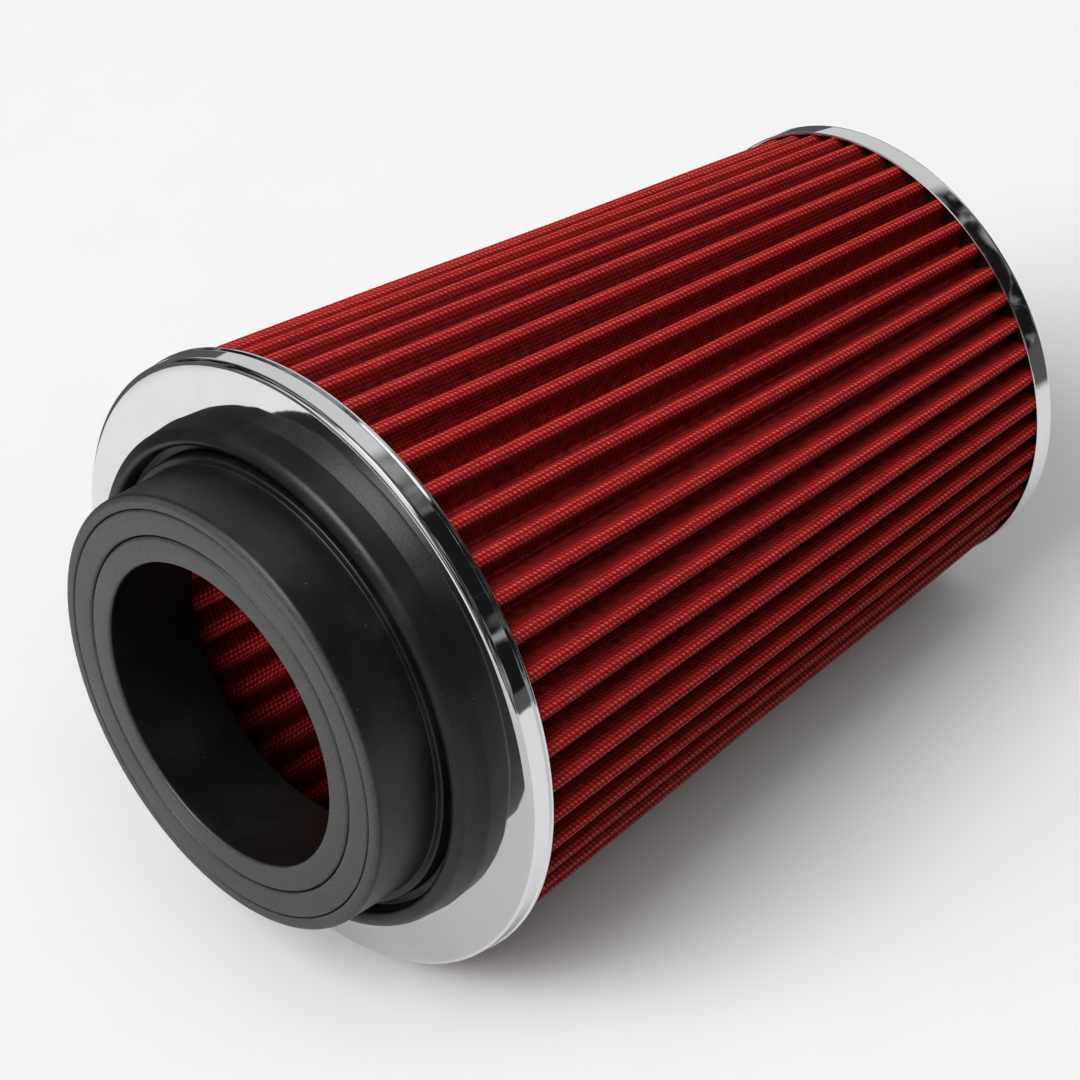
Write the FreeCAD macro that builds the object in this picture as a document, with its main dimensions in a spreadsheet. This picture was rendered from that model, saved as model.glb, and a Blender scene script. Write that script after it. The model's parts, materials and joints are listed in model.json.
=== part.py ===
import FreeCAD, Part
import math
import os

import Sketcher
from FreeCAD import Vector, Rotation, Placement

# Conical clamp-on air filter with a moulded rubber neck and two push-in
# reducer rings.  Millimetres.
# Frame: the filter's axis is the Y axis.  The open face of the neck lies in
# the plane y = 0 with its centre at the origin; the neck faces -Y and the
# closed cap is at +Y.  +Z is up when the filter sits on a horizontal stub.

os.makedirs("parts", exist_ok=True)
doc = FreeCAD.newDocument("air_filter")

# ---------------------------------------------------------------- dimensions
sheet = doc.addObject("Spreadsheet::Sheet", "dims")
DIMS = [
    # neck
    ("bore_radius", 38.0),            # bore of the inner reducer ring, 76 mm
    ("seam_inner_radius", 44.5),      # seam between the two rings, 89 mm
    ("seam_outer_radius", 51.0),      # bore of the boot, 102 mm
    ("ring_gap", 0.2),                # radial gap of each push-in ring
    ("inner_ring_length", 25.0),
    ("outer_ring_length", 27.0),
    ("stop_gap", 0.2),                # axial gap at each stop lip
    ("outer_stop_radius", 42.4),      # stop lip of the outer reducer ring
    ("boot_stop_radius", 48.4),       # stop lip of the boot
    ("boot_outer_radius", 54.4),
    ("boot_length", 29.6),
    ("shoulder_radius", 56.2),
    ("shoulder_pos", 17.3),
    ("groove_radius", 58.6),
    ("groove_floor", 21.5),
    ("bead_lip_pos", 16.3),
    ("bead_edge_radius", 62.8),
    ("bead_edge_pos", 18.4),
    ("bead_foot_radius", 63.4),
    ("inner_flange_radius", 66.0),
    ("neck_edge_round", 1.6),
    ("small_round", 0.5),
    # base plate
    ("plate_front", 25.0),
    ("sheet_metal", 0.8),
    ("plate_hole_radius", 57.4),
    ("plate_radius", 76.5),
    ("plate_back", 31.4),
    ("plate_round", 1.3),
    ("hem", 0.35),
    # pleated pack
    ("pleats", 50),
    ("pleat_phase", 6.9),             # degrees of the first crest from +Z
    ("pack_start", 29.6),
    ("pack_end", 216.2),
    ("crest_radius_base", 75.0),      # at plate_back
    ("crest_radius_tip", 57.5),       # at tip_pos
    ("tip_pos", 214.0),
    ("pleat_depth", 9.6),             # sheet centre to sheet centre, at plate_back
    ("crest_half_flat", 0.78),
    ("root_half_flat", 1.1),
    ("screen_thickness", 0.3),
    ("gauze_thickness", 0.28),
    ("clip_gap", 0.05),
    ("clip_thickness", 0.4),
    # potting and cap
    ("potting_bore_radius", 60.5),
    ("cap_front", 214.0),
    ("cap_back", 220.0),
    ("cap_radius", 58.3),
    ("cap_sheet", 0.7),
    ("cap_round", 1.3),
    ("cap_panel_radius", 46.0),
    ("cap_panel_depth", 1.2),
    ("cap_potting_bore", 42.0),
]
for row, (name, value) in enumerate(DIMS, start=1):
    sheet.set("A%d" % row, name)
    sheet.set("B%d" % row, str(value))
    sheet.setAlias("B%d" % row, name)
doc.recompute()


def dim(name):
    return float(sheet.get(name))


# ------------------------------------------------------------------- helpers
def plane(body, role):
    for feature in body.Origin.OriginFeatures:
        if getattr(feature, "Role", "") == role:
            return feature
    raise RuntimeError("no origin plane " + role)


def value_of(expr):
    """The number a bound expression has, from the sheet's own cells."""
    names = {name: dim(name) for name, _ in DIMS}
    total = 0.0
    sign = 1.0
    for token in expr.replace("-", " - ").replace("+", " + ").split():
        if token == "+":
            sign = 1.0
        elif token == "-":
            sign = -1.0
        else:
            total += sign * (names[token] if token in names else float(token))
    return total


def bound(expr):
    out = []
    names = {name for name, _ in DIMS}
    for token in expr.replace("-", " - ").replace("+", " + ").split():
        out.append("dims." + token if token in names else token)
    return " ".join(out)


def profile(body, label, points):
    """A closed profile in the body's XY plane: x is the radius and y the
    place along the axis.  Every corner is driven by the spreadsheet."""
    sketch = body.newObject("Sketcher::SketchObject", label)
    sketch.AttachmentSupport = (plane(body, "XY_Plane"), [""])
    sketch.MapMode = "FlatFace"
    corners = [(value_of(a), value_of(b)) for a, b in points]
    count = len(corners)
    lines = []
    for i in range(count):
        a = corners[i]
        b = corners[(i + 1) % count]
        lines.append(Part.LineSegment(Vector(a[0], a[1], 0), Vector(b[0], b[1], 0)))
    sketch.addGeometry(lines, False)
    for i in range(count):
        sketch.addConstraint(Sketcher.Constraint("Coincident", i, 2, (i + 1) % count, 1))
    for i, (radius, along) in enumerate(points):
        k = sketch.addConstraint(Sketcher.Constraint("DistanceX", -1, 1, i, 1, corners[i][0]))
        sketch.setExpression("Constraints[%d]" % k, bound(radius))
        if abs(corners[i][1]) < 1e-9:
            sketch.addConstraint(Sketcher.Constraint("PointOnObject", i, 1, -1))
        else:
            k = sketch.addConstraint(Sketcher.Constraint("DistanceY", -1, 1, i, 1, corners[i][1]))
            sketch.setExpression("Constraints[%d]" % k, bound(along))
    return sketch


def turned(label, points, rounds=()):
    """A turned piece: the profile revolved about the Y axis, with its named
    circular edges (radius, place along the axis) rounded."""
    body = doc.addObject("PartDesign::Body", label)
    body.Label = label
    sketch = profile(body, label + "_profile", points)
    turn = body.newObject("PartDesign::Revolution", label + "_turn")
    turn.Profile = sketch
    turn.ReferenceAxis = (sketch, ["V_Axis"])
    turn.Angle = 360.0
    sketch.Visibility = False
    doc.recompute()
    last = turn
    for n, (size, where) in enumerate(rounds):
        names = []
        targets = [(value_of(a), value_of(b)) for a, b in where]
        found = set()
        for i, edge in enumerate(last.Shape.Edges, start=1):
            curve = edge.Curve
            if not isinstance(curve, Part.Circle):
                continue
            if abs(abs(curve.Axis.y) - 1.0) > 1e-6:
                continue
            for j, (radius, along) in enumerate(targets):
                if abs(curve.Radius - radius) < 1e-4 and abs(curve.Center.y - along) < 1e-4:
                    names.append("Edge%d" % i)
                    found.add(j)
        if len(found) != len(targets):
            raise RuntimeError("%s: edges found %s of %s" % (label, found, targets))
        fillet = body.newObject("PartDesign::Fillet", "%s_round_%d" % (label, n + 1))
        fillet.Base = (last, names)
        fillet.Radius = value_of(size)
        fillet.setExpression("Radius", bound(size))
        body.Tip = fillet
        doc.recompute()
        last = fillet
    return body


pieces = []

# ------------------------------------------------------------- neck (rubber)
# Moulded boot: a tube for the hose clamp, a shoulder, a groove and a raised
# bead that seats on the base plate, and an inner flange behind the plate.
pieces.append(turned("neck_boot", [
    ("seam_outer_radius", "0"),
    ("boot_outer_radius", "0"),
    ("boot_outer_radius", "shoulder_pos"),
    ("shoulder_radius", "shoulder_pos"),
    ("shoulder_radius", "groove_floor"),
    ("groove_radius", "groove_floor"),
    ("groove_radius", "bead_lip_pos"),
    ("bead_edge_radius", "bead_edge_pos"),
    ("bead_foot_radius", "plate_front"),
    ("plate_hole_radius", "plate_front"),
    ("plate_hole_radius", "plate_front + sheet_metal"),
    ("inner_flange_radius", "plate_front + sheet_metal"),
    ("inner_flange_radius", "boot_length"),
    ("boot_stop_radius", "boot_length"),
    ("boot_stop_radius", "outer_ring_length + stop_gap"),
    ("seam_outer_radius", "outer_ring_length + stop_gap"),
], rounds=[
    ("neck_edge_round", [("boot_outer_radius", "0")]),
    ("small_round", [("seam_outer_radius", "0"),
                     ("groove_radius", "bead_lip_pos"),
                     ("bead_edge_radius", "bead_edge_pos"),
                     ("shoulder_radius", "shoulder_pos"),
                     ("shoulder_radius", "groove_floor"),
                     ("groove_radius", "groove_floor"),
                     ("boot_stop_radius", "boot_length")]),
]))

# Outer reducer ring, 102 mm to 89 mm, with a stop lip at its inner end.
pieces.append(turned("reducer_ring_outer", [
    ("seam_inner_radius", "0"),
    ("seam_outer_radius - ring_gap", "0"),
    ("seam_outer_radius - ring_gap", "outer_ring_length"),
    ("outer_stop_radius", "outer_ring_length"),
    ("outer_stop_radius", "inner_ring_length + stop_gap"),
    ("seam_inner_radius", "inner_ring_length + stop_gap"),
], rounds=[
    ("small_round", [("seam_inner_radius", "0"),
                     ("seam_outer_radius - ring_gap", "0"),
                     ("seam_outer_radius - ring_gap", "outer_ring_length"),
                     ("outer_stop_radius", "outer_ring_length")]),
]))

# Inner reducer ring, 89 mm to the 76 mm stub.
pieces.append(turned("reducer_ring_inner", [
    ("bore_radius", "0"),
    ("seam_inner_radius - ring_gap", "0"),
    ("seam_inner_radius - ring_gap", "inner_ring_length"),
    ("bore_radius", "inner_ring_length"),
], rounds=[
    ("small_round", [("bore_radius", "0"),
                     ("seam_inner_radius - ring_gap", "0"),
                     ("seam_inner_radius - ring_gap", "inner_ring_length"),
                     ("bore_radius", "inner_ring_length")]),
]))

# ------------------------------------------------------ chromed base plate
# A stamped pan: flat annulus, rounded corner, rim wall and a small rolled hem.
pieces.append(turned("base_plate", [
    ("plate_hole_radius", "plate_front"),
    ("plate_radius", "plate_front"),
    ("plate_radius", "plate_back - hem - hem"),
    ("plate_radius + hem", "plate_back - hem"),
    ("plate_radius + hem", "plate_back"),
    ("plate_radius - sheet_metal", "plate_back"),
    ("plate_radius - sheet_metal", "plate_front + sheet_metal"),
    ("plate_hole_radius", "plate_front + sheet_metal"),
], rounds=[
    ("plate_round", [("plate_radius", "plate_front")]),
    ("small_round", [("plate_radius - sheet_metal", "plate_front + sheet_metal")]),
]))

# Polyurethane potting that bonds the pleat ends into the pan.
pieces.append(turned("base_potting", [
    ("inner_flange_radius", "plate_front + sheet_metal"),
    ("plate_radius - sheet_metal - small_round", "plate_front + sheet_metal"),
    ("plate_radius - sheet_metal", "plate_front + sheet_metal + small_round"),
    ("plate_radius - sheet_metal", "pack_start"),
    ("potting_bore_radius", "pack_start"),
    ("potting_bore_radius", "boot_length"),
    ("inner_flange_radius", "boot_length"),
] if abs(dim("pack_start") - dim("boot_length")) > 1e-6 else [
    ("inner_flange_radius", "plate_front + sheet_metal"),
    ("plate_radius - sheet_metal - small_round", "plate_front + sheet_metal"),
    ("plate_radius - sheet_metal", "plate_front + sheet_metal + small_round"),
    ("plate_radius - sheet_metal", "pack_start"),
    ("inner_flange_radius", "pack_start"),
]))

# ------------------------------------------------------------ pleated pack
# Six nested sheets: outer wire screen, four plies of cotton gauze, inner wire
# screen.  Every sheet is a frustum of one star-shaped pyramid, so all of its
# facets are flat and neighbouring sheets share them exactly.
PLEATS = int(round(dim("pleats")))
SLOPE = (dim("crest_radius_base") - dim("crest_radius_tip")) / (dim("tip_pos") - dim("plate_back"))
APEX = dim("plate_back") + dim("crest_radius_base") / SLOPE
HALF_PACK = dim("screen_thickness") + 2.0 * dim("gauze_thickness")


def axis_point(radius, angle, along):
    """Angle in radians from +Z towards -X, seen along +Y."""
    return Vector(-radius * math.sin(angle), along, radius * math.cos(angle))


def centre_line():
    """Corners of the folded sheet's middle surface in the plate_back plane,
    as (across, up) pairs, in order round the axis."""
    crest = dim("crest_radius_base") - HALF_PACK
    root = crest - dim("pleat_depth")
    flat_c = dim("crest_half_flat")
    flat_r = dim("root_half_flat")
    start = math.radians(dim("pleat_phase"))
    step = 2.0 * math.pi / PLEATS
    out = []
    for i in range(PLEATS):
        for centre, radius, flat in ((start + i * step, crest, flat_c),
                                     (start + (i + 0.5) * step, root, flat_r)):
            for side in (-1.0, 1.0):
                x = radius * math.sin(centre) + side * flat * math.cos(centre)
                y = radius * math.cos(centre) - side * flat * math.sin(centre)
                out.append((x, y))
    return out


CENTRE = centre_line()


def offset_line(distance):
    """The closed line moved outwards by distance, mitred at its corners."""
    count = len(CENTRE)
    out = []
    for i in range(count):
        ax, ay = CENTRE[i - 1]
        bx, by = CENTRE[i]
        cx, cy = CENTRE[(i + 1) % count]
        ux, uy = bx - ax, by - ay
        vx, vy = cx - bx, cy - by
        lu, lv = math.hypot(ux, uy), math.hypot(vx, vy)
        # outward normals: the line runs from +Z towards +across
        n1 = (-uy / lu, ux / lu)
        n2 = (-vy / lv, vx / lv)
        k = 1.0 + n1[0] * n2[0] + n1[1] * n2[1]
        out.append((bx + distance * (n1[0] + n2[0]) / k,
                    by + distance * (n1[1] + n2[1]) / k))
    return out


def lifted(line, along):
    """The line scaled about the apex into the plane y = along.  The across
    direction is -X."""
    k = (APEX - along) / (APEX - dim("plate_back"))
    return [Vector(-x * k, along, y * k) for x, y in line]


def frustum(outer, inner, low, high):
    """Closed solid between two star-shaped lines from y = low to y = high."""
    faces = []
    rings = {}
    for name, line in (("outer", outer), ("inner", inner)):
        rings[name] = (lifted(line, low), lifted(line, high))
        a, b = rings[name]
        count = len(line)
        for i in range(count):
            j = (i + 1) % count
            faces.append(Part.Face(Part.makePolygon([a[i], a[j], b[j], b[i], a[i]])))
    for level in (0, 1):
        o = rings["outer"][level]
        n = rings["inner"][level]
        outer_wire = Part.makePolygon(o + [o[0]])
        inner_wire = Part.makePolygon(n + [n[0]])
        faces.append(Part.makeFace([outer_wire, inner_wire], "Part::FaceMakerBullseye"))
    return closed(faces)


def prism(line, low, high):
    """Closed solid inside one small closed line from y = low to y = high."""
    a, b = lifted(line, low), lifted(line, high)
    faces = []
    for i in range(len(line)):
        j = (i + 1) % len(line)
        faces.append(Part.Face(Part.makePolygon([a[i], a[j], b[j], b[i], a[i]])))
    faces.append(Part.Face(Part.makePolygon(a + [a[0]])))
    faces.append(Part.Face(Part.makePolygon(b + [b[0]])))
    return closed(faces)


def closed(faces):
    shell = Part.Shell(faces)
    shell.sewShape()
    if not shell.isClosed():
        raise RuntimeError("open shell")
    solid = Part.Solid(shell)
    if solid.Volume < 0:
        solid.reverse()
    return solid


def shaped(label, shape):
    feature = doc.addObject("Part::Feature", label)
    feature.Label = label
    feature.Shape = shape
    feature.Placement = Placement(Vector(0, 0, 0), Rotation(0, 0, 0, 1))
    return feature


low, high = dim("pack_start"), dim("pack_end")
screen, gauze = dim("screen_thickness"), dim("gauze_thickness")
levels = [HALF_PACK]
for thickness in (screen, gauze, gauze, gauze, gauze, screen):
    levels.append(levels[-1] - thickness)
lines = [offset_line(v) for v in levels]
names = ["outer_screen", "gauze_ply_1", "gauze_ply_2", "gauze_ply_3",
         "gauze_ply_4", "inner_screen"]
for i, name in enumerate(names):
    pieces.append(shaped(name, frustum(lines[i], lines[i + 1], low, high)))

# Folded metal strip that joins the two ends of the pleated sheet, pushed over
# one inner fold and running its whole length.
fold = int(round(PLEATS * 0.75))
i0 = 4 * fold + 1
a_side = offset_line(-HALF_PACK - dim("clip_gap"))
b_side = offset_line(-HALF_PACK - dim("clip_gap") - dim("clip_thickness"))


def along_flank(line, start, end, part):
    a = line[start % len(line)]
    b = line[end % len(line)]
    return (a[0] + (b[0] - a[0]) * part, a[1] + (b[1] - a[1]) * part)


strip = [along_flank(a_side, i0, i0 + 1, 0.35), a_side[(i0 + 1) % len(a_side)],
         a_side[(i0 + 2) % len(a_side)], along_flank(a_side, i0 + 2, i0 + 3, 0.65),
         along_flank(b_side, i0 + 2, i0 + 3, 0.65), b_side[(i0 + 2) % len(b_side)],
         b_side[(i0 + 1) % len(b_side)], along_flank(b_side, i0, i0 + 1, 0.35)]
pieces.append(shaped("media_seam_clip", prism(strip, low + 0.4, high - 0.4)))

# ------------------------------------------------------------------ end cap
# Chromed stamped cap: rim over the pleat ends, rounded corner and a shallow
# pressed panel in its face.
pieces.append(turned("end_cap", [
    ("0", "cap_back - cap_panel_depth"),
    ("cap_panel_radius", "cap_back - cap_panel_depth"),
    ("cap_panel_radius + cap_panel_depth", "cap_back"),
    ("cap_radius", "cap_back"),
    ("cap_radius", "cap_front"),
    ("cap_radius - cap_sheet", "cap_front"),
    ("cap_radius - cap_sheet", "cap_back - cap_sheet"),
    ("cap_panel_radius + cap_panel_depth", "cap_back - cap_sheet"),
    ("cap_panel_radius", "cap_back - cap_panel_depth - cap_sheet"),
    ("0", "cap_back - cap_panel_depth - cap_sheet"),
], rounds=[
    ("cap_round", [("cap_radius", "cap_back")]),
    ("small_round", [("cap_radius - cap_sheet", "cap_back - cap_sheet")]),
]))

# Potting that closes the pleats inside the cap.
pieces.append(turned("cap_potting", [
    ("cap_potting_bore", "pack_end"),
    ("cap_radius - cap_sheet", "pack_end"),
    ("cap_radius - cap_sheet", "cap_back - cap_sheet - small_round"),
    ("cap_radius - cap_sheet - small_round", "cap_back - cap_sheet"),
    ("cap_panel_radius + cap_panel_depth", "cap_back - cap_sheet"),
    ("cap_panel_radius", "cap_back - cap_panel_depth - cap_sheet"),
    ("cap_potting_bore", "cap_back - cap_panel_depth - cap_sheet"),
]))

doc.recompute()

# ------------------------------------------------------------------- checks
for obj in doc.Objects:
    for state in obj.State:
        if state in ("Invalid", "Error"):
            raise RuntimeError("%s is %s" % (obj.Label, state))
for obj in pieces:
    shape = obj.Shape
    if shape.isNull() or not shape.isValid():
        raise RuntimeError(obj.Label + " has a bad shape")
    if len(shape.Solids) != 1 or shape.Volume <= 0:
        raise RuntimeError("%s: %d solids, %.1f mm3" % (obj.Label, len(shape.Solids), shape.Volume))
for obj in pieces:
    obj.Shape.exportStep("parts/%s.step" % obj.Label)
    box = obj.Shape.BoundBox
    print("%-20s vol %9.0f mm3  y %.2f..%.2f  r %.2f" % (
        obj.Label, obj.Shape.Volume, box.YMin, box.YMax, box.XMax))
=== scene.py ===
import json
import math

import bpy
import numpy as np
from mathutils import Matrix, Vector

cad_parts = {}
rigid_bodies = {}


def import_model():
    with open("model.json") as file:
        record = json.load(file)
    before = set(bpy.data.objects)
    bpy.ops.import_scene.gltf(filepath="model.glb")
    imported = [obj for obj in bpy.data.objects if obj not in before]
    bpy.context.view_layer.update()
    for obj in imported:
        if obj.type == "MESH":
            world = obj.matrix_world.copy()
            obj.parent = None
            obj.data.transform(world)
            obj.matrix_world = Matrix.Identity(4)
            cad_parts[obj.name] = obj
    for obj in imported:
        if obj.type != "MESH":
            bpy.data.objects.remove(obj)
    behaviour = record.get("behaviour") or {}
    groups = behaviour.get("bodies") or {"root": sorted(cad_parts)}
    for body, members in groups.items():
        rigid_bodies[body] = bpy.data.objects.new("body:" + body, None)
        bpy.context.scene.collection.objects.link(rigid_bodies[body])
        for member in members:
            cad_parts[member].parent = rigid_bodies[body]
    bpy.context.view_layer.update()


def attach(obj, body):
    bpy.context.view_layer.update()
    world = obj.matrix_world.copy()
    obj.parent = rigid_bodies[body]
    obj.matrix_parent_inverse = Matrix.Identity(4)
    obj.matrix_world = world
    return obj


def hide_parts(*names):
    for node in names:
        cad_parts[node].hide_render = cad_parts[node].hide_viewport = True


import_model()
MM = 0.001
scene = bpy.context.scene

# Sizes in millimetres, the same as the part's own dimension sheet.
PLATE_BACK = 31.4
CREST_BASE, CREST_TIP, TIP_POS = 75.0, 57.5, 214.0
PACK_LOW, PACK_HIGH = 29.6, 216.2
PLEATS = 50
PHASE = math.radians(6.9)
SLOPE = (CREST_BASE - CREST_TIP) / (TIP_POS - PLATE_BACK)
APEX = PLATE_BACK + CREST_BASE / SLOPE
HALF_PACK = 0.86
CREST_HALF, ROOT_HALF = 0.78, 1.1
PLEAT_DEPTH = 9.6


# ---------------------------------------------------------------- mesh tools
def build(name, verts, quads, tris=(), sharp=40.0, uv=None):
    """Mesh object from arrays in mm; uv is one (u, v) pair per face corner."""
    verts = np.asarray(verts, dtype=np.float64) * MM
    quads = np.asarray(quads, dtype=np.int64).reshape(-1, 4)
    tris = np.asarray(tris, dtype=np.int64).reshape(-1, 3)
    loops = np.concatenate([quads.ravel(), tris.ravel()])
    starts = np.concatenate([np.arange(len(quads)) * 4,
                             len(quads) * 4 + np.arange(len(tris)) * 3])
    totals = np.concatenate([np.full(len(quads), 4), np.full(len(tris), 3)])
    me = bpy.data.meshes.new(name)
    me.vertices.add(len(verts))
    me.vertices.foreach_set("co", verts.ravel())
    me.loops.add(len(loops))
    me.loops.foreach_set("vertex_index", loops.astype(np.int32))
    me.polygons.add(len(starts))
    me.polygons.foreach_set("loop_start", starts.astype(np.int32))
    me.polygons.foreach_set("loop_total", totals.astype(np.int32))
    me.update(calc_edges=True)
    me.validate()
    if uv is not None:
        layer = me.uv_layers.new(name="Weave")
        layer.uv.foreach_set("vector", np.asarray(uv, dtype=np.float32).ravel())
    me.shade_smooth()
    if sharp is not None:
        me.set_sharp_from_angle(angle=math.radians(sharp))
    ob = bpy.data.objects.new(name, me)
    scene.collection.objects.link(ob)
    return ob


def rounded(points, closed=True, step=12.0, longest=3.0):
    """Corner list of (x, y, radius) to a dense line with arcs at corners."""
    out = []
    count = len(points)
    for i in range(count):
        bx, by, rad = points[i]
        if not closed and i in (0, count - 1):
            out.append((bx, by))
            continue
        ax, ay = points[i - 1][:2]
        cx, cy = points[(i + 1) % count][:2]
        ux, uy = bx - ax, by - ay
        vx, vy = cx - bx, cy - by
        lu, lv = math.hypot(ux, uy), math.hypot(vx, vy)
        ux, uy, vx, vy = ux / lu, uy / lu, vx / lv, vy / lv
        cross = ux * vy - uy * vx
        dot = max(-1.0, min(1.0, ux * vx + uy * vy))
        turn = math.acos(dot)
        if rad <= 0 or turn < 1e-3:
            out.append((bx, by))
            continue
        cut = min(rad * math.tan(turn / 2), 0.49 * lu, 0.49 * lv)
        rad = cut / math.tan(turn / 2)
        side = 1.0 if cross > 0 else -1.0
        px, py = bx - ux * cut, by - uy * cut
        ox, oy = px - uy * side * rad, py + ux * side * rad
        n = max(3, int(math.ceil(math.degrees(turn) / step)))
        a0 = math.atan2(py - oy, px - ox)
        for k in range(n + 1):
            a = a0 + side * turn * k / n
            out.append((ox + rad * math.cos(a), oy + rad * math.sin(a)))
    dense = []
    count = len(out)
    for i in range(count if closed else count - 1):
        ax, ay = out[i]
        bx, by = out[(i + 1) % count]
        n = max(1, int(math.ceil(math.hypot(bx - ax, by - ay) / longest)))
        for k in range(n):
            dense.append((ax + (bx - ax) * k / n, ay + (by - ay) * k / n))
    if not closed:
        dense.append(out[-1])
    return dense


def lathe(name, corners, segments=256, closed=True, step=12.0, longest=3.0,
          sharp=50.0):
    """Turned piece about the Y axis.  corners: (radius, along, round)."""
    line = np.array(rounded(corners, closed, step, longest))
    n = len(line)
    ang = np.arange(segments) * 2 * math.pi / segments
    verts, rows = [], []
    for r, y in line:
        if r < 1e-6:
            rows.append(("pole", len(verts)))
            verts.append((0.0, y, 0.0))
            continue
        rows.append(("ring", len(verts)))
        for a in ang:
            verts.append((-r * math.sin(a), y, r * math.cos(a)))
    quads, tris = [], []
    last = n if closed else n - 1
    for i in range(last):
        ka, a = rows[i]
        kb, b = rows[(i + 1) % n]
        if ka == "pole" and kb == "pole":
            continue
        for s in range(segments):
            t = (s + 1) % segments
            if ka == "pole":
                tris.append((a, b + s, b + t))
            elif kb == "pole":
                tris.append((a + s, b, a + t))
            else:
                quads.append((a + s, b + s, b + t, a + t))
    verts = np.array(verts)
    quads = np.array(quads, dtype=np.int64).reshape(-1, 4)
    tris = np.array(tris, dtype=np.int64).reshape(-1, 3)
    if volume(verts, quads, tris) < 0:
        quads = quads[:, ::-1]
        tris = tris[:, ::-1]
    return build(name, verts, quads, tris, sharp)


def volume(v, quads, tris):
    t = [tris] if len(tris) else []
    if len(quads):
        t += [quads[:, [0, 1, 2]], quads[:, [0, 2, 3]]]
    t = np.concatenate(t)
    a, b, c = v[t[:, 0]], v[t[:, 1]], v[t[:, 2]]
    return float(np.einsum("ij,ij->i", a, np.cross(b, c)).sum() / 6.0)


def place(ob, body, node, slot, *materials):
    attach(ob, body)
    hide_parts(*([node] if isinstance(node, str) else node))
    for m in materials:
        ob.data.materials.append(m)
    return ob


# ------------------------------------------------------------- node building
def lin(r, g, b):
    """sRGB 0..255 to linear."""
    out = []
    for c in (r, g, b):
        c /= 255.0
        out.append(c / 12.92 if c <= 0.04045 else ((c + 0.055) / 1.055) ** 2.4)
    return (*out, 1.0)


class Tree:
    def __init__(self, name):
        self.mat = bpy.data.materials.new(name)
        self.mat.use_nodes = True
        self.nt = self.mat.node_tree
        self.nt.nodes.clear()
        self.out = self.nt.nodes.new("ShaderNodeOutputMaterial")
        self.bsdf = self.nt.nodes.new("ShaderNodeBsdfPrincipled")
        self.nt.links.new(self.bsdf.outputs[0], self.out.inputs[0])

    def put(self, socket, value):
        if isinstance(value, bpy.types.NodeSocket):
            self.nt.links.new(value, socket)
        elif value is not None:
            socket.default_value = value

    def set(self, **values):
        for key, value in values.items():
            self.put(self.bsdf.inputs[key.replace("_", " ")], value)

    def math(self, op, a, b=None, c=None, clamp=False):
        n = self.nt.nodes.new("ShaderNodeMath")
        n.operation = op
        n.use_clamp = clamp
        self.put(n.inputs[0], a)
        if b is not None:
            self.put(n.inputs[1], b)
        if c is not None:
            self.put(n.inputs[2], c)
        return n.outputs[0]

    def mix(self, fac, a, b, mode="MIX"):
        n = self.nt.nodes.new("ShaderNodeMix")
        n.data_type = "RGBA"
        n.blend_type = mode
        self.put(n.inputs[0], fac)
        self.put(n.inputs[6], a)
        self.put(n.inputs[7], b)
        return n.outputs[2]

    def remap(self, value, a, b, c, d, smooth=False):
        n = self.nt.nodes.new("ShaderNodeMapRange")
        n.interpolation_type = "SMOOTHSTEP" if smooth else "LINEAR"
        self.put(n.inputs[0], value)
        for i, q in enumerate((a, b, c, d)):
            n.inputs[i + 1].default_value = q
        return n.outputs[0]

    def coords(self):
        if not hasattr(self, "_tc"):
            self._tc = self.nt.nodes.new("ShaderNodeTexCoord")
        return self._tc.outputs["Object"]

    def noise(self, scale, detail=3.0, rough=0.55, vec=None, distortion=0.0):
        n = self.nt.nodes.new("ShaderNodeTexNoise")
        n.inputs["Scale"].default_value = scale
        n.inputs["Detail"].default_value = detail
        n.inputs["Roughness"].default_value = rough
        n.inputs["Distortion"].default_value = distortion
        self.nt.links.new(vec or self.coords(), n.inputs["Vector"])
        return n.outputs[0]

    def cells(self, scale, output="Distance", vec=None, randomness=1.0):
        n = self.nt.nodes.new("ShaderNodeTexVoronoi")
        n.inputs["Scale"].default_value = scale
        n.inputs["Randomness"].default_value = randomness
        self.nt.links.new(vec or self.coords(), n.inputs["Vector"])
        return n.outputs[output]

    def bump(self, height, distance, strength=1.0, normal=None):
        n = self.nt.nodes.new("ShaderNodeBump")
        n.inputs["Distance"].default_value = distance
        n.inputs["Strength"].default_value = strength
        self.put(n.inputs["Height"], height)
        if normal is not None:
            self.nt.links.new(normal, n.inputs["Normal"])
        return n.outputs[0]


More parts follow.
